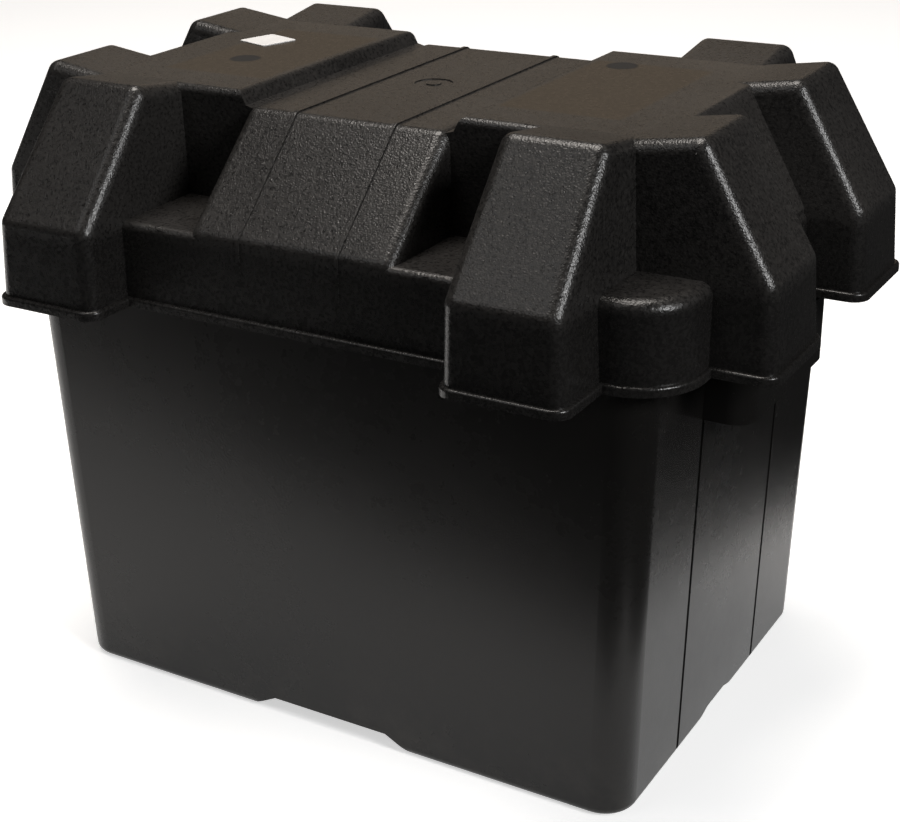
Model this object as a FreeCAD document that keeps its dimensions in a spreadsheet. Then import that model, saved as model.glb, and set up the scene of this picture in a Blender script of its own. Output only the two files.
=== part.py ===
# Battery box: a drafted tub with strap channels and carrying handles, and a
# deep lift-off lid whose eight hooded towers shelter the cable exits.
# Frame: X along the box, Y across it, +Z up; the origin is the centre of the
# underside, on the surface the feet stand on.
import FreeCAD, Part
import math
import os
import Sketcher

V = FreeCAD.Vector

DIMENSIONS = [
    # tub shell
    ("tub_height", 196.0, "top of the rim above the feet"),
    ("tub_foot_half_len", 136.0, "half length of the shell at the feet"),
    ("tub_foot_half_wid", 97.0, "half width of the shell at the feet"),
    ("tub_rim_half_len", 141.6, "half length of the shell at the rim"),
    ("tub_rim_half_wid", 100.3, "half width of the shell at the rim"),
    ("tub_corner_rad", 14.0, "radius of the upright corners"),
    ("tub_wall", 3.0, "wall thickness of the tub"),
    ("tub_floor", 3.2, "thickness of the floor over the feet"),
    ("tub_foot_edge_rad", 3.5, "rounding round the underside"),
    # rim flange of the tub
    ("flange_thick", 3.0, "thickness of the rim flange"),
    ("flange_half_len", 149.4, "half length of the flange at the ends"),
    ("flange_half_wid", 106.4, "half width of the flange at the sides"),
    ("flange_side_reach", 118.0, "half length of the side flange"),
    ("flange_corner_rad", 24.0, "corner radius of the end flange"),
    ("flange_side_rad", 4.0, "corner radius of the side flange"),
    # strap channels under the tub
    ("strap_height", 6.8, "height of the channel across the tub"),
    ("strap_top_half", 28.0, "half width of that channel at its roof"),
    ("strap_foot_half", 41.0, "half width of that channel at the feet"),
    ("arch_height", 4.6, "height of the channel along the tub"),
    ("arch_top_half", 9.0, "half width of that channel at its roof"),
    ("arch_foot_half", 25.0, "half width of that channel at the feet"),
    ("bay_seat", 10.0, "height of the raised seat the battery stands on"),
    # end handles and end panels
    ("handle_reach", 159.0, "distance of the handle face from the centre"),
    ("handle_half_wid", 43.5, "half width of a handle"),
    ("handle_drop", 153.0, "height of the lower edge of a handle"),
    ("handle_top", 181.4, "height of the top of a handle, under the lid"),
    ("handle_wall", 2.8, "thickness of the turned-down handle"),
    ("handle_corner_rad", 9.0, "outer corner radius of a handle"),
    ("hand_bite", 0.2, "how far the hand space bites into the shell"),
    ("panel_line_offset", 41.8, "distance of the end panel lines from the middle"),
    ("panel_line_wid", 2.2, "width of an end panel line"),
    ("panel_line_deep", 0.9, "depth of an end panel line"),
    # lid levels
    ("lid_rim_low", 184.0, "height of the lower edge of the lid"),
    ("lid_lip_high", 187.6, "height of the top of the lip round the lid"),
    ("lid_lip_reach", 1.7, "how far the lip stands out from the skirt"),
    ("lid_lip_edge_rad", 1.2, "rounding of the top of the lip"),
    ("lid_wall", 2.6, "wall thickness of the lid"),
    ("least_edge_rad", 1.0, "smallest rounding left inside the lid"),
    ("lid_ledge_top", 218.2, "height of the strap-side ledges"),
    ("lid_bump_top", 218.0, "height of the low corners"),
    ("lid_shoulder", 218.6, "height where the slopes meet the skirt"),
    ("lid_band_top", 258.0, "height of the middle band"),
    ("lid_plateau_top", 263.5, "height of the two end plateaus"),
    ("lid_tower_top", 267.4, "height of the tower crests"),
    ("tower_fall", 0.14, "fall of a tower top towards the plateau, per mm"),
    # lid plan
    ("band_half_wid", 45.5, "half width of the middle band"),
    ("band_crest", 67.0, "distance of the band crest from the middle"),
    ("band_shoulder", 109.8, "distance of the band shoulder"),
    ("band_rim", 110.6, "distance of the band skirt at the rim"),
    ("plateau_foot", 47.0, "where the plateau step starts on the band"),
    ("plateau_edge", 50.0, "where the plateau step reaches the top"),
    ("plateau_half_wid", 66.0, "half width of the plateau"),
    ("plateau_edge_rad", 3.0, "rounding of the plateau edges"),
    ("plateau_overlap", 12.0, "how far the plateau runs on inside the band"),
    ("plateau_sink", 3.0, "how far that overlap lies under the band top"),
    ("plateau_lean", 0.6, "shift of a sloping inner face per mm of wall"),
    ("end_crest", 126.0, "plateau edge between the end towers"),
    ("end_foot", 151.6, "foot of the slope between the end towers"),
    ("end_rim", 153.2, "skirt between the end towers"),
    ("bump_rim", 103.7, "half width of the skirt at the low corners"),
    ("bump_corner_rad", 24.0, "plan radius of the low corners"),
    ("bump_draft", 0.3, "draft of the low corners from rim to top"),
    ("ledge_half_len", 91.0, "half length of the ledges"),
    ("ledge_corner_rad", 8.0, "plan radius of the ledges"),
    ("ledge_lip_rad", 4.0, "plan radius of the lip at the ledges"),
    ("ledge_draft", 0.8, "draft of the ledges from rim to top"),
    ("side_tower_near", 79.0, "inner side of a side tower at the top"),
    ("side_tower_far", 121.2, "outer side of a side tower at the top"),
    ("side_near_flare", 1.0, "flare of that inner side down to the rim"),
    ("side_far_flare", 4.5, "flare of that outer side down to the rim"),
    ("side_tower_root", 30.0, "where a side tower starts inside the lid"),
    ("side_tower_crest", 90.0, "crest of a side tower"),
    ("side_tower_shoulder", 131.8, "shoulder of a side tower"),
    ("side_tower_rim", 132.8, "skirt of a side tower at the rim"),
    ("end_tower_near", 26.5, "inner side of an end tower at the top"),
    ("end_tower_far", 69.6, "outer side of an end tower at the top"),
    ("end_near_flare", 2.5, "flare of that inner side down to the rim"),
    ("end_far_flare", 3.2, "flare of that outer side down to the rim"),
    ("end_tower_root", 86.0, "where an end tower starts inside the lid"),
    ("end_tower_crest", 146.4, "crest of an end tower"),
    ("end_tower_shoulder", 175.0, "shoulder of an end tower"),
    ("end_tower_rim", 177.2, "skirt of an end tower at the rim"),
    ("band_flare", 1.0, "flare of the band's sides down to the rim"),
    ("band_root", 2.0, "overlap of the band's two halves at the middle"),
    ("tower_edge_rad", 5.4, "rounding of the tower edges"),
    ("shoulder_rad", 5.0, "rounding of the shoulders"),
    ("band_edge_rad", 5.0, "rounding of the band edges"),
    ("ledge_edge_rad", 3.0, "rounding of the ledges"),
    ("bump_edge_rad", 5.0, "rounding of the low corners"),
    # strap guide ribs and the gate mark on the band
    ("rib_offset", 22.3, "distance of a guide rib from the middle"),
    ("rib_half_wid", 0.8, "half width of a guide rib"),
    ("rib_high", 0.6, "height of a guide rib"),
    ("rib_sink", 1.5, "how deep a guide rib is rooted in the band"),
    ("rib_ease", 1.6, "extra root depth on the sloping parts"),
    ("rib_foot_gap", 1.0, "height of a rib's foot over the lip"),
    ("rib_bend_rad", 5.0, "rounding of a rib where it bends"),
    ("gate_rad", 8.0, "radius of the shallow gate recess"),
    ("gate_nub_rad", 3.2, "radius of the flat nub in the gate recess"),
    ("gate_deep", 0.4, "depth of the gate recess"),
    # label
    ("label_size", 18.2, "edge length of the blank label"),
    ("label_thick", 0.3, "thickness of the blank label"),
    ("label_x", -96.9, "centre of the label along the box"),
    ("label_y", 19.8, "centre of the label across the box"),
    ("label_turn", -18.5, "turn of the label in degrees"),
    ("label_corner_rad", 1.5, "corner radius of the label"),
    # stops inside the lid
    ("seat_gap", 0.3, "gap between the lid's stops and the flange"),
    ("stop_thick", 2.4, "thickness of a stop"),
    ("stop_root", 1.0, "how far a stop's top lies under the lid's top"),
    ("side_stop_offset", 60.0, "distance of a side stop from the middle"),
    ("side_stop_in", 99.3, "inner edge of a side stop"),
    ("side_stop_out", 109.4, "outer edge of a side stop"),
    ("end_stop_offset", 12.0, "distance of an end stop from the middle"),
    ("end_stop_in", 141.1, "inner edge of an end stop"),
    ("end_stop_out", 151.4, "outer edge of an end stop"),
]

doc = FreeCAD.newDocument("battery_box")
sheet = doc.addObject("Spreadsheet::Sheet", "dims")
for row, (alias, value, note) in enumerate(DIMENSIONS, start=1):
    sheet.set("A%d" % row, alias)
    sheet.set("B%d" % row, str(value))
    sheet.set("C%d" % row, note)
    sheet.setAlias("B%d" % row, alias)
doc.recompute()


def dim(alias):
    """Value of one sheet cell as a plain number."""
    return float(sheet.get(alias))


# ---------------------------------------------------------------- sketches

def origin_plane(body, role):
    for feature in body.Origin.OriginFeatures:
        if feature.Role == role:
            return feature
    raise ValueError(role)


def new_sketch(body, name, role, offset=None, offset_expr=None):
    """Empty sketch on one of the body's own planes, set off along its normal."""
    sketch = body.newObject("Sketcher::SketchObject", name)
    sketch.AttachmentSupport = [(origin_plane(body, role), "")]
    sketch.MapMode = "FlatFace"
    if offset is not None:
        sketch.AttachmentOffset = FreeCAD.Placement(V(0, 0, offset), FreeCAD.Rotation())
    if offset_expr is not None:
        sketch.setExpression("AttachmentOffset.Base.z", offset_expr)
    return sketch


def rounded_rectangle(sketch, half_x, half_y, radius, exprs):
    """Rounded rectangle about the sketch origin; exprs bind x, y and radius."""
    x, y, r = half_x, half_y, radius
    quarter = math.pi / 2
    sides = [
        ((-x + r, -y), (x - r, -y)),
        ((x, -y + r), (x, y - r)),
        ((x - r, y), (-x + r, y)),
        ((-x, y - r), (-x, -y + r)),
    ]
    for start, end in sides:
        sketch.addGeometry(Part.LineSegment(V(*start, 0), V(*end, 0)), False)
    centres = [(x - r, -y + r, -1), (x - r, y - r, 0), (-x + r, y - r, 1), (-x + r, -y + r, 2)]
    for cx, cy, turn in centres:
        circle = Part.Circle(V(cx, cy, 0), V(0, 0, 1), r)
        arc = Part.ArcOfCircle(circle, turn * quarter, (turn + 1) * quarter)
        sketch.addGeometry(arc, False)
    con = Sketcher.Constraint
    for k in range(4):
        sketch.addConstraint(con("Tangent", k, 2, 4 + k, 1))
        sketch.addConstraint(con("Tangent", 4 + k, 2, (k + 1) % 4, 1))
    sketch.addConstraint(con("Horizontal", 0))
    sketch.addConstraint(con("Vertical", 1))
    sketch.addConstraint(con("Equal", 4, 5))
    sketch.addConstraint(con("Equal", 4, 6))
    sketch.addConstraint(con("Symmetric", 4, 3, 6, 3, -1, 1))
    across = sketch.addConstraint(con("DistanceX", -1, 1, 1, 1, x))
    along = sketch.addConstraint(con("DistanceY", -1, 1, 2, 1, y))
    round_off = sketch.addConstraint(con("Radius", 4, r))
    sketch.setExpression("Constraints[%d]" % across, exprs[0])
    sketch.setExpression("Constraints[%d]" % along, exprs[1])
    sketch.setExpression("Constraints[%d]" % round_off, exprs[2])


def corner_rectangle(sketch, low, high, exprs):
    """Plain rectangle from low to high; exprs bind x0, y0, x1 and y1."""
    (x0, y0), (x1, y1) = low, high
    corners = [(x0, y0), (x1, y0), (x1, y1), (x0, y1)]
    for k in range(4):
        start, end = corners[k], corners[(k + 1) % 4]
        sketch.addGeometry(Part.LineSegment(V(*start, 0), V(*end, 0)), False)
    con = Sketcher.Constraint
    for k in range(4):
        sketch.addConstraint(con("Coincident", k, 2, (k + 1) % 4, 1))
    for k in (0, 2):
        sketch.addConstraint(con("Horizontal", k))
    for k in (1, 3):
        sketch.addConstraint(con("Vertical", k))
    bounds = [("DistanceX", 0, 1, x0), ("DistanceY", 0, 1, y0)]
    bounds += [("DistanceX", 1, 2, x1), ("DistanceY", 1, 2, y1)]
    for (kind, line, point, value), expr in zip(bounds, exprs):
        index = sketch.addConstraint(con(kind, -1, 1, line, point, value))
        sketch.setExpression("Constraints[%d]" % index, expr)


def channel_profile(sketch, foot_half, roof_half, foot_level, roof_level, exprs):
    """Symmetric trapezium; exprs bind foot half, roof half, foot and roof level."""
    corners = [
        (-foot_half, foot_level),
        (foot_half, foot_level),
        (roof_half, roof_level),
        (-roof_half, roof_level),
    ]
    for k in range(4):
        start, end = corners[k], corners[(k + 1) % 4]
        sketch.addGeometry(Part.LineSegment(V(*start, 0), V(*end, 0)), False)
    con = Sketcher.Constraint
    for k in range(4):
        sketch.addConstraint(con("Coincident", k, 2, (k + 1) % 4, 1))
    sketch.addConstraint(con("Symmetric", 0, 1, 0, 2, -2))
    sketch.addConstraint(con("Symmetric", 2, 1, 2, 2, -2))
    bounds = [
        ("DistanceX", 0, 2, foot_half),
        ("DistanceX", 2, 1, roof_half),
        ("DistanceY", 0, 2, foot_level),
        ("DistanceY", 2, 1, roof_level),
    ]
    for (kind, line, point, value), expr in zip(bounds, exprs):
        index = sketch.addConstraint(con(kind, -1, 1, line, point, value))
        sketch.setExpression("Constraints[%d]" % index, expr)


def add_feature(body, kind, name):
    """Newest solid feature of a body, built on the one before it."""
    before = body.Tip
    feature = body.newObject(kind, name)
    if before is not None and feature.BaseFeature is None:
        feature.BaseFeature = before
    return feature


def check_change(body, before, grows, name):
    """Stop if the newest feature did not add or remove material."""
    doc.recompute()
    after = body.Shape.Volume
    if grows and after <= before or not grows and after >= before:
        raise RuntimeError("%s changed nothing" % name)
    return after


# --------------------------------------------------------------------- tub

def build_tub():
    body = doc.addObject("PartDesign::Body", "tub")
    body.Label = "tub"
    height = dim("tub_height")
    corner = dim("tub_corner_rad")
    wall = dim("tub_wall")

    foot = new_sketch(body, "foot_outline", "XY_Plane")
    rounded_rectangle(
        foot, dim("tub_foot_half_len"), dim("tub_foot_half_wid"), corner,
        ("dims.tub_foot_half_len", "dims.tub_foot_half_wid", "dims.tub_corner_rad"),
    )
    rim = new_sketch(body, "rim_outline", "XY_Plane", height, "dims.tub_height")
    rounded_rectangle(
        rim, dim("tub_rim_half_len"), dim("tub_rim_half_wid"), corner,
        ("dims.tub_rim_half_len", "dims.tub_rim_half_wid", "dims.tub_corner_rad"),
    )
    shell = add_feature(body, "PartDesign::AdditiveLoft", "outer_shell")
    shell.Profile = rim
    shell.Sections = [foot]
    shell.Ruled = True
    doc.recompute()

    edges = []
    for number, edge in enumerate(shell.Shape.Edges, start=1):
        if edge.BoundBox.ZMax < 0.01:
            edges.append("Edge%d" % number)
    underside = add_feature(body, "PartDesign::Fillet", "underside_rounding")
    underside.Base = (shell, edges)
    underside.Radius = dim("tub_foot_edge_rad")
    underside.setExpression("Radius", "dims.tub_foot_edge_rad")
    volume = check_change(body, shell.Shape.Volume, False, "underside rounding")

    flange_low = height - dim("flange_thick")
    low_expr = "dims.tub_height - dims.flange_thick"
    ends = new_sketch(body, "flange_ends", "XY_Plane", flange_low, low_expr)
    rounded_rectangle(
        ends, dim("flange_half_len"), dim("tub_rim_half_wid"), dim("flange_corner_rad"),
        ("dims.flange_half_len", "dims.tub_rim_half_wid", "dims.flange_corner_rad"),
    )
    ends_pad = add_feature(body, "PartDesign::Pad", "end_flange")
    ends_pad.Profile = ends
    ends_pad.setExpression("Length", "dims.flange_thick")
    volume = check_change(body, volume, True, "end flange")

    sides = new_sketch(body, "flange_sides", "XY_Plane", flange_low, low_expr)
    rounded_rectangle(
        sides, dim("flange_side_reach"), dim("flange_half_wid"), dim("flange_side_rad"),
        ("dims.flange_side_reach", "dims.flange_half_wid", "dims.flange_side_rad"),
    )
    sides_pad = add_feature(body, "PartDesign::Pad", "side_flange")
    sides_pad.Profile = sides
    sides_pad.setExpression("Length", "dims.flange_thick")
    volume = check_change(body, volume, True, "side flange")

    drop = dim("handle_drop")
    grip = new_sketch(body, "handle_outline", "XY_Plane", drop, "dims.handle_drop")
    rounded_rectangle(
        grip, dim("handle_reach"), dim("handle_half_wid"), dim("handle_corner_rad"),
        ("dims.handle_reach", "dims.handle_half_wid", "dims.handle_corner_rad"),
    )
    grip_pad = add_feature(body, "PartDesign::Pad", "handles")
    grip_pad.Profile = grip
    grip_pad.setExpression("Length", "dims.handle_top - dims.handle_drop")
    volume = check_change(body, volume, True, "handles")

    # the hand space inside each turned-down handle
    hand_wall = dim("handle_wall")
    for side in (-1, 1):
        name = "hand_space_right" if side > 0 else "hand_space_left"
        near = dim("tub_rim_half_len") - dim("hand_bite")
        far = dim("handle_reach") - hand_wall
        half = dim("handle_half_wid") - hand_wall
        bounds = sorted((side * near, side * far))
        near_expr = "dims.tub_rim_half_len - dims.hand_bite"
        far_expr = "dims.handle_reach - dims.handle_wall"
        exprs = ["%d * (%s)" % (side, near_expr), "%d * (%s)" % (side, far_expr)]
        if side < 0:
            exprs.reverse()
        half_expr = "dims.handle_half_wid - dims.handle_wall"
        hand = new_sketch(body, name, "XY_Plane", drop - 1.0, "dims.handle_drop - 1")
        corner_rectangle(
            hand, (bounds[0], -half), (bounds[1], half),
            (exprs[0], "-(%s)" % half_expr, exprs[1], half_expr),
        )
        pocket = add_feature(body, "PartDesign::Pocket", name + "_cut")
        pocket.Profile = hand
        pocket.Reversed = True
        pocket.setExpression("Length", "dims.handle_top - dims.handle_drop - dims.handle_wall + 1")
        volume = check_change(body, volume, False, name)

    # the inside of the shell, from the floor to past the rim
    floor = dim("tub_floor")
    slope_x = (dim("tub_rim_half_len") - dim("tub_foot_half_len")) / height
    slope_y = (dim("tub_rim_half_wid") - dim("tub_foot_half_wid")) / height
    inner_low = new_sketch(body, "inside_floor", "XY_Plane", floor, "dims.tub_floor")
    slope_x_expr = "(dims.tub_rim_half_len - dims.tub_foot_half_len) / dims.tub_height"
    slope_y_expr = "(dims.tub_rim_half_wid - dims.tub_foot_half_wid) / dims.tub_height"
    rounded_rectangle(
        inner_low,
        dim("tub_foot_half_len") + slope_x * floor - wall,
        dim("tub_foot_half_wid") + slope_y * floor - wall,
        corner - wall,
        (
            "dims.tub_foot_half_len + %s * dims.tub_floor - dims.tub_wall" % slope_x_expr,
            "dims.tub_foot_half_wid + %s * dims.tub_floor - dims.tub_wall" % slope_y_expr,
            "dims.tub_corner_rad - dims.tub_wall",
        ),
    )
    inner_high = new_sketch(body, "inside_rim", "XY_Plane", height, "dims.tub_height")
    rounded_rectangle(
        inner_high, dim("tub_rim_half_len") - wall, dim("tub_rim_half_wid") - wall,
        corner - wall,
        (
            "dims.tub_rim_half_len - dims.tub_wall",
            "dims.tub_rim_half_wid - dims.tub_wall",
            "dims.tub_corner_rad - dims.tub_wall",
        ),
    )
    inside = add_feature(body, "PartDesign::SubtractiveLoft", "inside")
    inside.Profile = inner_low
    inside.Sections = [inner_high]
    inside.Ruled = True
    volume = check_change(body, volume, False, "inside")

    # raised seats over the two channels, then the channels themselves
    reach_x = "2 * (dims.tub_foot_half_len - dims.tub_wall / 2)"
    reach_y = "2 * (dims.tub_foot_half_wid - dims.tub_wall / 2)"
    seats = [
        ("cross_seat", "XZ_Plane", "strap", "dims.bay_seat", dim("bay_seat"), reach_y),
        ("long_seat", "YZ_Plane", "arch", "dims.arch_height + dims.tub_floor",
         dim("arch_height") + floor, reach_x),
    ]
    for name, role, kind, roof_expr, roof, reach in seats:
        seat = new_sketch(body, name, role)
        channel_profile(
            seat, dim(kind + "_foot_half") + wall, dim(kind + "_top_half") + wall,
            floor - 0.5, roof,
            (
                "dims.%s_foot_half + dims.tub_wall" % kind,
                "dims.%s_top_half + dims.tub_wall" % kind,
                "dims.tub_floor - 0.5",
                roof_expr,
            ),
        )
        pad = add_feature(body, "PartDesign::Pad", name + "_pad")
        pad.Profile = seat
        pad.Midplane = True
        pad.setExpression("Length", reach)
        volume = check_change(body, volume, True, name)

    channels = [
        ("strap_channel", "XZ_Plane", "strap", 2 * dim("flange_half_wid")),
        ("long_channel", "YZ_Plane", "arch", 2 * dim("flange_half_len")),
    ]
    for name, role, kind, length in channels:
        channel = new_sketch(body, name, role)
        rise = dim(kind + "_height")
        run = (dim(kind + "_foot_half") - dim(kind + "_top_half")) / rise
        run_expr = "(dims.%s_foot_half - dims.%s_top_half) / dims.%s_height" % (kind, kind, kind)
        channel_profile(
            channel, dim(kind + "_foot_half") + run, dim(kind + "_top_half"), -1.0, rise,
            (
                "dims.%s_foot_half + %s" % (kind, run_expr),
                "dims.%s_top_half" % kind,
                "-1",
                "dims.%s_height" % kind,
            ),
        )
        pocket = add_feature(body, "PartDesign::Pocket", name + "_cut")
        pocket.Profile = channel
        pocket.Midplane = True
        pocket.Length = length
        volume = check_change(body, volume, False, name)

    # two upright lines that mark off the middle panel of each end wall
    for side in (-1, 1):
        for hand in (-1, 1):
            name = "panel_line_%s%s" % ("r" if side > 0 else "l", "b" if hand > 0 else "f")
            mark = new_sketch(body, name, "YZ_Plane")
            middle = hand * dim("panel_line_offset")
            half = dim("panel_line_wid") / 2
            top = drop + 2.0
            corner_rectangle(
                mark, (middle - half, -1.0), (middle + half, top),
                (
                    "%d * dims.panel_line_offset - dims.panel_line_wid / 2" % hand,
                    "-1",
                    "%d * dims.panel_line_offset + dims.panel_line_wid / 2" % hand,
                    "dims.handle_drop + 2",
                ),
            )
            lean = math.degrees(math.atan(slope_x))
            deep = dim("panel_line_deep")
            face = side * (dim("tub_foot_half_len") - deep)
            mark.AttachmentOffset = FreeCAD.Placement(
                V(0, 0, face), FreeCAD.Rotation(V(1, 0, 0), side * lean))
            pocket = add_feature(body, "PartDesign::Pocket", name + "_cut")
            pocket.Profile = mark
            pocket.Reversed = side > 0
            pocket.Length = deep * 4
            volume = check_change(body, volume, False, name)
    return body


# --------------------------------------------------------------------- lid

def prism(points, direction):
    wire = Part.makePolygon(points + [points[0]])
    return Part.Face(wire).extrude(direction)


def tower_block(inner, crest, shoulder, rim, top, fall, base, near, far, flares, inset):
    """Sloped hood along +X before turning: u is outward, v is sideways.

    The top falls gently from the crest towards the middle of the lid, and the
    near and far sides flare by `flares` between the top and the base. `inset`
    moves every outer face in by the wall thickness, for the hollow inside.
    """
    slope_run = shoulder[0] - crest
    slope_fall = top - shoulder[1]
    lean = math.hypot(slope_run, slope_fall)
    # moving the slope in by `inset` along its normal shifts the crest this much
    shift = inset * (lean - slope_run) / slope_fall
    u_crest = crest - shift
    u_shoulder = shoulder[0] - inset
    top_z = top - inset
    shoulder_z = shoulder[1] - inset * (lean - slope_fall) / slope_run
    u_rim = rim - inset
    profile = [
        V(inner, 0, base),
        V(inner, 0, top_z - fall * (u_crest - inner)),
        V(u_crest, 0, top_z),
        V(u_shoulder, 0, shoulder_z),
        V(u_rim, 0, base),
    ]
    far_v, near_v = far + 40, near - 40
    for point in profile:
        point.y = near_v
    hood = prism(profile, V(0, far_v - near_v, 0))
    sides = [
        V(inner - 1, near - flares[0] + inset, base),
        V(inner - 1, far + flares[1] - inset, base),
        V(inner - 1, far - inset, top),
        V(inner - 1, near + inset, top),
    ]
    return hood.common(prism(sides, V(rim - inner + 2, 0, 0)))


def round_block(block, inner, base, shoulder_z, radius, shoulder_radius):
    """Round every outer edge of a hood, with a tighter shoulder."""
    shoulder_edges = []
    other_edges = []
    for edge in block.Edges:
        box = edge.BoundBox
        if box.XMax < inner + 0.01 or box.ZMax < base + 0.01:
            continue
        level = abs(box.ZMax - box.ZMin) < 0.01 and abs(box.ZMax - shoulder_z) < 1.5
        if level:
            shoulder_edges.append(edge)
        else:
            other_edges.append(edge)
    rounded = block.makeFillet(radius, other_edges)
    shoulder_again = []
    for edge in rounded.Edges:
        box = edge.BoundBox
        flat = abs(box.ZMax - box.ZMin) < 0.01
        if flat and abs(box.ZMax - shoulder_z) < 1.5 and box.YLength > 4:
            shoulder_again.append(edge)
    if not shoulder_again:
        return rounded
    try:
        softened = rounded.makeFillet(shoulder_radius, shoulder_again)
    except Exception:
        return rounded
    return softened if softened.isValid() else rounded


def around(shape, turns):
    """Copies of a shape mirrored to the other quarters."""
    copies = []
    for flip_x, flip_y in turns:
        copy = shape.copy()
        if flip_x:
            copy = copy.mirror(V(0, 0, 0), V(1, 0, 0))
        if flip_y:
            copy = copy.mirror(V(0, 0, 0), V(0, 1, 0))
        copies.append(copy)
    return copies


def side_facing(shape):
    """Turn a hood built along +X, with v along +Y, to stand along -Y with v on +X."""
    turned = shape.copy()
    turned.rotate(V(0, 0, 0), V(0, 0, 1), -90)
    return turned


FOUR = [(False, False), (True, False), (False, True), (True, True)]
TWO_ENDS = [(False, False), (True, False)]
TWO_SIDES = [(False, False), (False, True)]


def drafted_slab(half_x, half_y, draft, low, high, radius, edge_radius):
    """Rounded slab whose sides lean in by `draft` between low and high."""
    def outline(hx, hy, r, z):
        x0, y0 = hx - r, hy - r
        points = [V(hx, -y0, z), V(hx, y0, z), V(x0, hy, z), V(-x0, hy, z)]
        points += [V(-hx, y0, z), V(-hx, -y0, z), V(-x0, -hy, z), V(x0, -hy, z)]
        k = r * math.sqrt(0.5)
        middles = [V(x0 + k, y0 + k, z), V(-x0 - k, y0 + k, z)]
        middles += [V(-x0 - k, -y0 - k, z), V(x0 + k, -y0 - k, z)]
        edges = []
        for n in range(4):
            a, b = points[2 * n], points[2 * n + 1]
            c = points[(2 * n + 2) % 8]
            edges.append(Part.LineSegment(a, b).toShape())
            edges.append(Part.Arc(b, middles[n], c).toShape())
        return Part.Wire(edges)
    low_wire = outline(half_x, half_y, radius, low)
    high_wire = outline(half_x - draft, half_y - draft, radius, high)
    slab = Part.makeLoft([low_wire, high_wire], True, True)
    if edge_radius > 0:
        top_edges = [e for e in slab.Edges if e.BoundBox.ZMin > high - 0.01]
        slab = slab.makeFillet(edge_radius, top_edges)
    return slab


def lid_solid(inset):
    """Solid outer form of the lid, or the hollow inside it when inset > 0."""
    # the hollow runs on below the rim so that the cut leaves the lid open
    below = 5.0
    base = dim("lid_rim_low") - (below if inset else 0.0)
    plateau = dim("lid_plateau_top")
    tower_top = dim("lid_tower_top")
    fall = dim("tower_fall")
    band_top = dim("lid_band_top")
    shoulder_z = dim("lid_shoulder")
    least = dim("least_edge_rad")
    edge = max(dim("tower_edge_rad") - inset, least)
    shoulder_edge = max(dim("shoulder_rad") - inset, least)
    pieces = []

    # end towers
    start = dim("end_tower_root")
    block = tower_block(
        start, dim("end_tower_crest"), (dim("end_tower_shoulder"), shoulder_z),
        dim("end_tower_rim"), tower_top, fall, base,
        dim("end_tower_near"), dim("end_tower_far"),
        (dim("end_near_flare"), dim("end_far_flare")), inset,
    )
    block = round_block(block, start, base, shoulder_z, edge, shoulder_edge)
    pieces += around(block, FOUR)

    # side towers
    start = dim("side_tower_root")
    block = tower_block(
        start, dim("side_tower_crest"), (dim("side_tower_shoulder"), shoulder_z),
        dim("side_tower_rim"), tower_top, fall, base,
        dim("side_tower_near"), dim("side_tower_far"),
        (dim("side_near_flare"), dim("side_far_flare")), inset,
    )
    block = round_block(block, start, base, shoulder_z, edge, shoulder_edge)
    pieces += around(side_facing(block), FOUR)

    # middle band, front half and back half
    half = dim("band_half_wid")
    start = -dim("band_root")
    block = tower_block(
        start, dim("band_crest"), (dim("band_shoulder"), shoulder_z),
        dim("band_rim"), band_top, 0.0, base, -half, half,
        (dim("band_flare"), dim("band_flare")), inset,
    )
    band_edge = max(dim("band_edge_rad") - inset, least)
    block = round_block(block, start, base, shoulder_z, band_edge, band_edge)
    pieces += around(side_facing(block), TWO_SIDES)

    # plateau bodies with a soft step down to the band and a sloped end
    half = dim("plateau_half_wid") - inset
    lean_in = inset * dim("plateau_lean")
    overlap = dim("plateau_overlap")
    profile = [
        V(dim("plateau_foot") - overlap, -half, base),
        V(dim("plateau_foot") - overlap, -half, band_top - dim("plateau_sink") - inset),
        V(dim("plateau_foot") + lean_in, -half, band_top - inset),
        V(dim("plateau_edge") + lean_in, -half, plateau - inset),
        V(dim("end_crest") - lean_in, -half, plateau - inset),
        V(dim("end_foot") - inset, -half, shoulder_z - inset),
        V(dim("end_foot") - inset, -half, base),
    ]
    core = prism(profile, V(0, 2 * half, 0))
    round_edges = []
    for line in core.Edges:
        box = line.BoundBox
        if box.ZMin > plateau - inset - 0.01:
            round_edges.append(line)
    core = core.makeFillet(max(dim("plateau_edge_rad") - inset, least), round_edges)
    pieces += around(core, TWO_ENDS)

    # low corners and the ledges beside the band
    slab = drafted_slab(
        dim("end_rim") - inset, dim("bump_rim") - inset, dim("bump_draft"), base,
        dim("lid_bump_top") - inset, dim("bump_corner_rad") - inset,
        max(dim("bump_edge_rad") - inset, least),
    )
    pieces.append(slab)
    ledge = drafted_slab(
        dim("ledge_half_len"), dim("band_rim") - inset, dim("ledge_draft"), base,
        dim("lid_ledge_top") - inset, dim("ledge_corner_rad"),
        max(dim("ledge_edge_rad") - inset, least),
    )
    # the low-corner slab is cut back where the ledges are lower than it
    recess_low = dim("lid_ledge_top") - inset
    recess = Part.makeBox(
        2 * dim("side_tower_near"), 60, 20,
        V(-dim("side_tower_near"), -dim("plateau_half_wid") + inset - 60, recess_low),
    )
    pieces[-1] = pieces[-1].cut(recess).cut(recess.mirror(V(0, 0, 0), V(0, 1, 0)))
    pieces.append(ledge)
    return pieces


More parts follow.
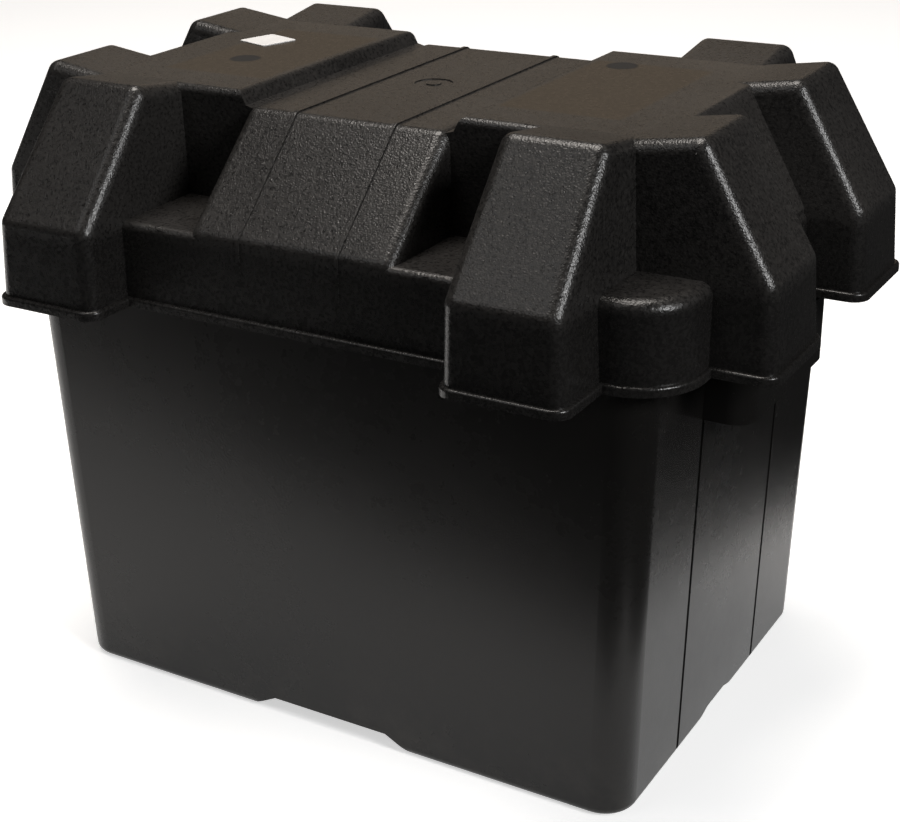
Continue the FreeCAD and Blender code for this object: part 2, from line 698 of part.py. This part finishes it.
def lip_outline():
    """Plan of the skirt at the rim as rectangles with rounded corners."""
    reach = dim("lid_lip_reach")
    plans = []

    def add(x0, y0, x1, y1, radius):
        box = Part.makeBox(x1 - x0, y1 - y0, 1, V(x0, y0, 0))
        upright = [e for e in box.Edges if e.BoundBox.ZLength > 0.5]
        plans.append(box.makeFillet(radius, upright))

    edge = dim("tower_edge_rad") + reach
    out = dim("side_tower_rim") + reach
    near = dim("side_tower_near") - dim("side_near_flare") - reach
    far = dim("side_tower_far") + dim("side_far_flare") + reach
    for side in (-1, 1):
        x0, x1 = sorted((side * near, side * far))
        add(x0, -out, x1, out, edge)
    out = dim("end_tower_rim") + reach
    near = dim("end_tower_near") - dim("end_near_flare") - reach
    far = dim("end_tower_far") + dim("end_far_flare") + reach
    for side in (-1, 1):
        y0, y1 = sorted((side * near, side * far))
        add(-out, y0, out, y1, edge)
    half = dim("band_rim") + reach
    ledge = dim("ledge_half_len")
    add(-ledge, -half, ledge, half, dim("ledge_lip_rad"))
    out = dim("end_rim") + reach
    half = dim("bump_rim") + reach
    add(-out, -half, out, half, dim("bump_corner_rad") + reach)
    plan = plans[0].multiFuse(plans[1:]).removeSplitter()
    return plan


def build_lip():
    plan = lip_outline()
    height = dim("lid_lip_high") - dim("lid_rim_low")
    bottom = [f for f in plan.Faces if f.BoundBox.ZMax < 0.01][0]
    lip = Part.Face(bottom.OuterWire).extrude(V(0, 0, height))
    lip.translate(V(0, 0, dim("lid_rim_low")))
    top_edges = [e for e in lip.Edges if e.BoundBox.ZMin > dim("lid_lip_high") - 0.01]
    try:
        rounded = lip.makeFillet(dim("lid_lip_edge_rad"), top_edges)
        if rounded.isValid():
            lip = rounded
    except Exception:
        pass
    return lip


def guide_rib(side):
    """Thin rib over the band: up the skirt, over both slopes and down again."""
    high = dim("rib_high")
    half = dim("rib_half_wid")
    sink = dim("rib_sink")
    top = dim("lid_band_top")
    crest = dim("band_crest")
    shoulder = dim("band_shoulder")
    level = dim("lid_shoulder")
    foot = dim("lid_lip_high") + dim("rib_foot_gap")
    ease = dim("rib_ease")
    outer = [
        (-shoulder - high, foot),
        (-shoulder - high, level),
        (-crest - high * 0.5, top + high),
        (crest + high * 0.5, top + high),
        (shoulder + high, level),
        (shoulder + high, foot),
    ]
    inner = [
        (shoulder - sink - ease, foot),
        (shoulder - sink - ease, level - ease),
        (crest - sink, top - sink),
        (-crest + sink, top - sink),
        (-shoulder + sink + ease, level - ease),
        (-shoulder + sink + ease, foot),
    ]
    x = side * dim("rib_offset") - half
    points = [V(x, y, z) for y, z in outer + inner]
    rib = prism(points, V(2 * half, 0, 0))
    kinks = []
    for edge in rib.Edges:
        box = edge.BoundBox
        across = box.XLength > 1.0 and box.YLength < 0.01
        on_outside = box.ZMin > top + high - 0.01
        on_shoulder = abs(box.ZMax - level) < 0.01 and box.YMax ** 2 > shoulder ** 2
        if across and (on_outside or on_shoulder):
            kinks.append(edge)
    return rib.makeFillet(dim("rib_bend_rad"), kinks)


def lid_stops():
    """Upright webs inside the lid that come down onto the tub's flange."""
    low = dim("tub_height") + dim("seat_gap")
    thick = dim("stop_thick")
    side_high = dim("lid_ledge_top") - dim("stop_root")
    side_in = dim("side_stop_in")
    side_out = dim("side_stop_out")
    webs = []
    for along in (-1, 1):
        x = along * dim("side_stop_offset")
        for hand in (-1, 1):
            y0, y1 = sorted((hand * side_in, hand * side_out))
            webs.append(Part.makeBox(thick, y1 - y0, side_high - low, V(x - thick / 2, y0, low)))
    end_in = dim("end_stop_in")
    end_out = dim("end_stop_out")
    end_high = dim("lid_bump_top") - dim("stop_root")
    for along in (-1, 1):
        y = along * dim("end_stop_offset")
        for hand in (-1, 1):
            x0, x1 = sorted((hand * end_in, hand * end_out))
            webs.append(Part.makeBox(x1 - x0, thick, end_high - low, V(x0, y - thick / 2, low)))
    return webs


def build_lid():
    outer_pieces = lid_solid(0.0)
    outer = outer_pieces[0].multiFuse(outer_pieces[1:] + [build_lip()])
    ribs = [guide_rib(-1), guide_rib(1)]
    outer = outer.multiFuse(ribs).removeSplitter()
    hollow_pieces = lid_solid(dim("lid_wall"))
    hollow = hollow_pieces[0].multiFuse(hollow_pieces[1:])
    shell = outer.cut(hollow)
    shell = shell.multiFuse(lid_stops())
    gate_floor = V(0, 0, dim("lid_band_top") - dim("gate_deep"))
    gate = Part.makeCylinder(dim("gate_rad"), 2 * dim("gate_deep"), gate_floor)
    nub = Part.makeCylinder(dim("gate_nub_rad"), dim("gate_deep"), gate_floor)
    shell = shell.cut(gate.cut(nub)).removeSplitter()
    if len(shell.Solids) != 1:
        raise RuntimeError("lid has %d solids" % len(shell.Solids))
    lid = doc.addObject("Part::Feature", "lid")
    lid.Label = "lid"
    lid.Shape = shell.Solids[0]
    return lid


# ------------------------------------------------------------------- label

def build_label():
    body = doc.addObject("PartDesign::Body", "label")
    body.Label = "label"
    half = dim("label_size") / 2
    outline = new_sketch(body, "label_outline", "XY_Plane")
    rounded_rectangle(
        outline, half, half, dim("label_corner_rad"),
        ("dims.label_size / 2", "dims.label_size / 2", "dims.label_corner_rad"),
    )
    pad = add_feature(body, "PartDesign::Pad", "label_sheet")
    pad.Profile = outline
    pad.setExpression("Length", "dims.label_thick")
    body.Placement = FreeCAD.Placement(
        V(dim("label_x"), dim("label_y"), dim("lid_plateau_top")),
        FreeCAD.Rotation(V(0, 0, 1), dim("label_turn")),
    )
    doc.recompute()
    return body


sub_parts = [build_tub(), build_lid(), build_label()]
doc.recompute()

for item in doc.Objects:
    if "Invalid" in item.State or "Error" in item.State:
        raise RuntimeError("%s failed: %s" % (item.Name, item.State))
for part in sub_parts:
    shape = part.Shape
    if shape.isNull() or not shape.isValid():
        raise RuntimeError("%s has a bad shape" % part.Label)
    box = shape.BoundBox
    print("%-6s solids %d volume %.0f x %.1f..%.1f y %.1f..%.1f z %.1f..%.1f" % (
        part.Label, len(shape.Solids), shape.Volume,
        box.XMin, box.XMax, box.YMin, box.YMax, box.ZMin, box.ZMax))

os.makedirs("parts", exist_ok=True)
for part in sub_parts:
    part.Shape.exportStep("parts/%s.step" % part.Label)
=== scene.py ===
# Looks for the battery box: black moulded polypropylene, one blank white label.
import bpy
import math
from mathutils import Matrix, Vector

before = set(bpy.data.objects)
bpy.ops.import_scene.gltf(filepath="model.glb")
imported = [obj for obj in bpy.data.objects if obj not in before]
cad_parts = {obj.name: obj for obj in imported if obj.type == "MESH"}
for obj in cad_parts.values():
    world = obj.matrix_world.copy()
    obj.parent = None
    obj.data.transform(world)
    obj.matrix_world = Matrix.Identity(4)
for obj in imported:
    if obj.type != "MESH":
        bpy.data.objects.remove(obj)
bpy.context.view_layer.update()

# Places below are in metres about the middle of the box's underside.
# tub: how high the painted floor reflection (a patchy lighter warm tint) reaches
FLOOR_REFLECTION_TOP = 0.045
# lid: the smooth panels on the plateaus, from the middle outward
PANEL_INNER = 0.0535
PANEL_OUTER = 0.1040
PANEL_HALF_WIDTH = 0.0440
PANEL_EDGE = 0.0010
# lid: heights between which a point counts as on a plateau's top
PLATEAU_LOW = 0.2618
PLATEAU_HIGH = 0.2626
# lid: heights between which the skirts pass into the slopes
SKIRT_LOW = 0.2120
SKIRT_HIGH = 0.2180
# lid: the gate spots, one on each plateau
GATE_SPOTS = ((-0.0838, -0.0154), (0.0667, 0.0384))
SPOT_CORE = 0.0060
SPOT_EDGE = 0.0078
# floor: a sheet that ends just past the box at the front and right
SHEET_LEFT = -1.15
SHEET_RIGHT = 0.214
SHEET_FRONT = -0.228
SHEET_BACK = 1.9
SHEET_TURN = 16.0
SHEET_LEVEL = -0.0004
SHEET_GLOW = 0.58


# ------------------------------------------------------------- node helpers

class Net:
    """A material's node tree with short calls for the nodes used here."""

    def __init__(self, name):
        self.mat = bpy.data.materials.new(name)
        self.mat.use_nodes = True
        self.nodes = self.mat.node_tree.nodes
        self.links = self.mat.node_tree.links
        self.bsdf = self.nodes["Principled BSDF"]
        coords = self.nodes.new("ShaderNodeTexCoord")
        self.place = coords.outputs["Object"]

    def put(self, socket, value):
        if isinstance(value, bpy.types.NodeSocket):
            self.links.new(value, socket)
        else:
            socket.default_value = value

    def noise(self, scale, detail, rough, vector=None):
        node = self.nodes.new("ShaderNodeTexNoise")
        self.put(node.inputs["Vector"], vector or self.place)
        node.inputs["Scale"].default_value = scale
        node.inputs["Detail"].default_value = detail
        node.inputs["Roughness"].default_value = rough
        return node.outputs["Fac"]

    def cells(self, scale, feature):
        node = self.nodes.new("ShaderNodeTexVoronoi")
        node.feature = feature
        self.put(node.inputs["Vector"], self.place)
        node.inputs["Scale"].default_value = scale
        return node.outputs["Distance"]

    def math(self, kind, a, b=0.0):
        node = self.nodes.new("ShaderNodeMath")
        node.operation = kind
        for socket, value in zip(node.inputs, (a, b)):
            self.put(socket, value)
        return node.outputs[0]

    def span(self, value, low, high, to_low=0.0, to_high=1.0, smooth=False):
        node = self.nodes.new("ShaderNodeMapRange")
        node.clamp = True
        if smooth:
            node.interpolation_type = "SMOOTHSTEP"
        self.put(node.inputs["Value"], value)
        for name, number in (("From Min", low), ("From Max", high),
                             ("To Min", to_low), ("To Max", to_high)):
            self.put(node.inputs[name], number)
        return node.outputs["Result"]

    def mix(self, factor, a, b):
        node = self.nodes.new("ShaderNodeMix")
        node.data_type = "RGBA"
        self.put(node.inputs["Factor"], factor)
        self.put(node.inputs["A"], a)
        self.put(node.inputs["B"], b)
        return node.outputs["Result"]

    def axes(self):
        node = self.nodes.new("ShaderNodeSeparateXYZ")
        self.put(node.inputs[0], self.place)
        return node.outputs

    def stretched(self, x, y, z):
        node = self.nodes.new("ShaderNodeMapping")
        node.inputs["Scale"].default_value = (x, y, z)
        self.put(node.inputs["Vector"], self.place)
        return node.outputs["Vector"]

    def bump(self, height, strength, distance, normal=None):
        node = self.nodes.new("ShaderNodeBump")
        node.inputs["Distance"].default_value = distance
        self.put(node.inputs["Strength"], strength)
        self.put(node.inputs["Height"], height)
        if normal is not None:
            self.put(node.inputs["Normal"], normal)
        return node.outputs["Normal"]

    def set(self, **values):
        for name, value in values.items():
            self.put(self.bsdf.inputs[name.replace("_", " ")], value)


def inside_band(net, value, low, high, edge):
    """1 where value lies between low and high, with a soft edge."""
    rise = net.span(value, low - edge, low + edge, smooth=True)
    fall = net.span(value, high - edge, high + edge, 1.0, 0.0, smooth=True)
    return net.math("MULTIPLY", rise, fall)


# ---------------------------------------------------------------- materials

def tub_plastic():
    net = Net("tub_black_plastic")
    cloud = net.noise(9.0, 3.0, 0.55)
    fine = net.noise(160.0, 3.0, 0.6)
    tone = net.math("ADD", net.math("MULTIPLY", cloud, 0.7), net.math("MULTIPLY", fine, 0.3))
    dark = (0.0080, 0.0076, 0.0072, 1.0)
    light = (0.0130, 0.0122, 0.0114, 1.0)
    colour = net.mix(tone, dark, light)
    # painted reflection of the floor: a patchy lighter warm tint along the lower edge
    height = net.axes()[2]
    low_reflection_fade = net.span(height, 0.0, FLOOR_REFLECTION_TOP, 1.0, 0.0, smooth=True)
    painted_reflection = net.math("MULTIPLY", low_reflection_fade, net.span(net.noise(55.0, 4.0, 0.7), 0.45, 0.8))
    colour = net.mix(net.math("MULTIPLY", painted_reflection, 0.16), colour, (0.10, 0.088, 0.075, 1.0))
    stipple = net.noise(1500.0, 2.0, 0.5)
    flow = net.noise(14.0, 2.0, 0.5, vector=net.stretched(1.0, 1.0, 0.3))
    uneven = net.math("ADD", cloud, net.math("MULTIPLY", fine, 0.4))
    rough = net.span(uneven, 0.3, 1.0, 0.22, 0.33)
    normal = net.bump(stipple, 0.30, 0.00014)
    normal = net.bump(flow, 0.12, 0.0016, normal)
    net.set(Base_Color=colour, Roughness=rough, Normal=normal)
    net.set(IOR=1.5, Specular_IOR_Level=0.24)
    return net.mat


def lid_plastic():
    net = Net("lid_grained_plastic")
    x, y, z = net.axes()
    across = net.math("ABSOLUTE", x)
    # the two smooth panels on the plateaus, where the tool was left bare
    panel = inside_band(net, across, PANEL_INNER, PANEL_OUTER, PANEL_EDGE)
    lengthwise = inside_band(net, y, -PANEL_HALF_WIDTH, PANEL_HALF_WIDTH, PANEL_EDGE)
    panel = net.math("MULTIPLY", panel, lengthwise)
    on_plateau = net.span(z, PLATEAU_LOW, PLATEAU_HIGH)
    panel = net.math("MULTIPLY", panel, on_plateau)
    open_grain = net.math("SUBTRACT", 1.0, panel)
    # the skirts are finished smoother than the slopes and tops; their darker colour is painted
    # shade
    skirt = net.span(z, SKIRT_LOW, SKIRT_HIGH, 1.0, 0.0, smooth=True)

    cloud = net.noise(11.0, 3.0, 0.55)
    fine = net.noise(700.0, 3.0, 0.70)
    tone = net.math("ADD", net.math("MULTIPLY", cloud, 0.35), net.math("MULTIPLY", fine, 0.65))
    tone = net.span(tone, 0.36, 0.64)
    dark = (0.0080, 0.0076, 0.0074, 1.0)
    light = (0.0370, 0.0348, 0.0330, 1.0)
    panel_painted_warm_sheen = (0.0125, 0.0082, 0.0040, 1.0)
    skirt_painted_shade = (0.0075, 0.0072, 0.0070, 1.0)
    spot_black = (0.0032, 0.0030, 0.0030, 1.0)
    colour = net.mix(tone, dark, light)
    # painted reflection: the brown tint on the smooth plateau panels stands in for warm light
    # reflected off them; their smooth, ungrained finish is real
    colour = net.mix(net.math("MULTIPLY", panel, 0.92), colour, panel_painted_warm_sheen)
    # painted shade: the skirts darkened below the slopes
    colour = net.mix(net.math("MULTIPLY", skirt, 0.6), colour, skirt_painted_shade)
    # one dark gate spot on each plateau
    ragged = net.math("MULTIPLY", net.noise(260.0, 2.0, 0.5), 0.0012)
    spots = []
    for spot_x, spot_y in GATE_SPOTS:
        dx = net.math("SUBTRACT", x, spot_x)
        dy = net.math("SUBTRACT", y, spot_y)
        squares = net.math("ADD", net.math("MULTIPLY", dx, dx), net.math("MULTIPLY", dy, dy))
        away = net.math("ADD", net.math("SQRT", squares), ragged)
        spot = net.span(away, SPOT_CORE, SPOT_EDGE, 0.85, 0.0, smooth=True)
        spot = net.math("MULTIPLY", spot, on_plateau)
        colour = net.mix(spot, colour, spot_black)
        spots.append(spot)

    warp = net.noise(620.0, 2.0, 0.6)
    pebble = net.cells(1350.0, "SMOOTH_F1")
    crease = net.cells(980.0, "DISTANCE_TO_EDGE")
    grain = net.math("ADD", net.math("MULTIPLY", pebble, 0.8), net.math("MULTIPLY", warp, 0.6))
    grain = net.math("ADD", grain, net.math("MULTIPLY", crease, 0.7))
    rough = net.span(fine, 0.3, 0.75, 0.24, 0.38)
    rough = net.math("SUBTRACT", rough, net.math("MULTIPLY", skirt, 0.03))
    for spot in spots:
        rough = net.math("ADD", rough, net.math("MULTIPLY", spot, 0.5))
    strength = net.math("MULTIPLY", open_grain, net.span(skirt, 0.0, 1.0, 0.42, 0.20))
    strength = net.math("ADD", strength, 0.02)
    normal = net.bump(grain, strength, 0.00032)
    waves = net.noise(20.0, 2.0, 0.5)
    normal = net.bump(waves, 0.10, 0.0010, normal)
    net.set(Base_Color=colour, Roughness=rough, Normal=normal)
    net.set(IOR=1.5)
    return net.mat


def label_paper():
    net = Net("label_white_vinyl")
    cloud = net.noise(260.0, 3.0, 0.6)
    colour = net.mix(cloud, (0.80, 0.80, 0.80, 1.0), (0.90, 0.90, 0.89, 1.0))
    fibre = net.noise(2600.0, 2.0, 0.5)
    rough = net.span(cloud, 0.3, 0.7, 0.48, 0.62)
    net.set(Base_Color=colour, Roughness=rough, Normal=net.bump(fibre, 0.12, 0.00005))
    return net.mat


def floor_paper():
    net = Net("floor_pale_paper")
    cloud = net.noise(2.0, 2.0, 0.5)
    colour = net.mix(cloud, (0.88, 0.88, 0.88, 1.0), (0.91, 0.91, 0.91, 1.0))
    net.set(Base_Color=colour, Roughness=0.9)
    net.bsdf.inputs["Specular IOR Level"].default_value = 0.0
    net.bsdf.inputs["Emission Color"].default_value = (1.0, 1.0, 1.0, 1.0)
    net.bsdf.inputs["Emission Strength"].default_value = SHEET_GLOW
    return net.mat


for node, make in (("tub", tub_plastic), ("lid", lid_plastic), ("label", label_paper)):
    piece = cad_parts[node]
    material = make()
    if piece.material_slots:
        for slot in piece.material_slots:
            slot.material = material
    else:
        piece.data.materials.append(material)


# -------------------------------------------------------------------- stage

def floor_sheet():
    """Plain sheet on a table top; the box stands near its front right corner."""
    mesh = bpy.data.meshes.new("floor")
    corners = [
        (SHEET_LEFT, SHEET_FRONT, SHEET_LEVEL),
        (SHEET_RIGHT, SHEET_FRONT, SHEET_LEVEL),
        (SHEET_RIGHT, SHEET_BACK, SHEET_LEVEL),
        (SHEET_LEFT, SHEET_BACK, SHEET_LEVEL),
    ]
    mesh.from_pydata(corners, [], [(0, 1, 2, 3)])
    sheet = bpy.data.objects.new("floor", mesh)
    sheet.rotation_euler[2] = math.radians(SHEET_TURN)
    bpy.context.scene.collection.objects.link(sheet)
    mesh.materials.append(floor_paper())


floor_sheet()


def soft_light(name, place, target, wide, tall, power, colour=(1.0, 1.0, 1.0)):
    data = bpy.data.lights.new(name, "AREA")
    data.shape = "RECTANGLE"
    data.size = wide
    data.size_y = tall
    data.energy = power
    data.color = colour
    lamp = bpy.data.objects.new(name, data)
    lamp.location = place
    lamp.rotation_mode = "QUATERNION"
    lamp.rotation_quaternion = (Vector(target) - Vector(place)).to_track_quat("-Z", "Y")
    bpy.context.scene.collection.objects.link(lamp)


soft_light("key", (-0.30, 0.10, 2.10), (0.0, 0.0, 0.1), 1.0, 1.0, 34.0, (1.0, 0.94, 0.88))
soft_light("front_fill", (-0.65, -1.1, 1.55), (0.0, -0.1, 0.2), 0.8, 0.7, 2.0)
soft_light("rear_glow", (-1.0, 1.9, 0.95), (0.0, 0.0, 0.26), 1.5, 0.7, 1.2, (1.0, 0.80, 0.60))
soft_light("side_strip", (1.26, -0.36, 0.89), (0.0, 0.0, 0.2), 0.40, 0.50, 11.0)

world = bpy.data.worlds.new("studio")
world.use_nodes = True
world.node_tree.nodes["Background"].inputs["Color"].default_value = (1.0, 1.0, 1.0, 1.0)
world.node_tree.nodes["Background"].inputs["Strength"].default_value = 0.02
bpy.context.scene.world = world
bpy.context.scene.view_settings.view_transform = "Standard"


# ------------------------------------------------------------------- camera

def aim_camera(place, azimuth, elevation, roll, lens, shift):
    az, el, tilt = (math.radians(v) for v in (azimuth, elevation, roll))
    ahead = Vector((-math.sin(az) * math.cos(el), math.cos(az) * math.cos(el), -math.sin(el)))
    right = ahead.cross(Vector((0.0, 0.0, 1.0))).normalized()
    up = right.cross(ahead)
    right_tilted = right * math.cos(tilt) + up * math.sin(tilt)
    up_tilted = up * math.cos(tilt) - right * math.sin(tilt)
    turn = Matrix((right_tilted, up_tilted, -ahead)).transposed()
    data = bpy.data.cameras.new("camera")
    data.sensor_fit = "HORIZONTAL"
    data.sensor_width = 36.0
    data.lens = lens
    data.shift_x, data.shift_y = shift
    data.clip_start = 0.01
    camera = bpy.data.objects.new("camera", data)
    camera.matrix_world = Matrix.Translation(place) @ turn.to_4x4()
    bpy.context.scene.collection.objects.link(camera)
    bpy.context.scene.camera = camera


aim_camera((0.3565, -0.6028, 0.4159), 31.56, 24.13, -1.42, 68.6, (0.0403, 0.0209))
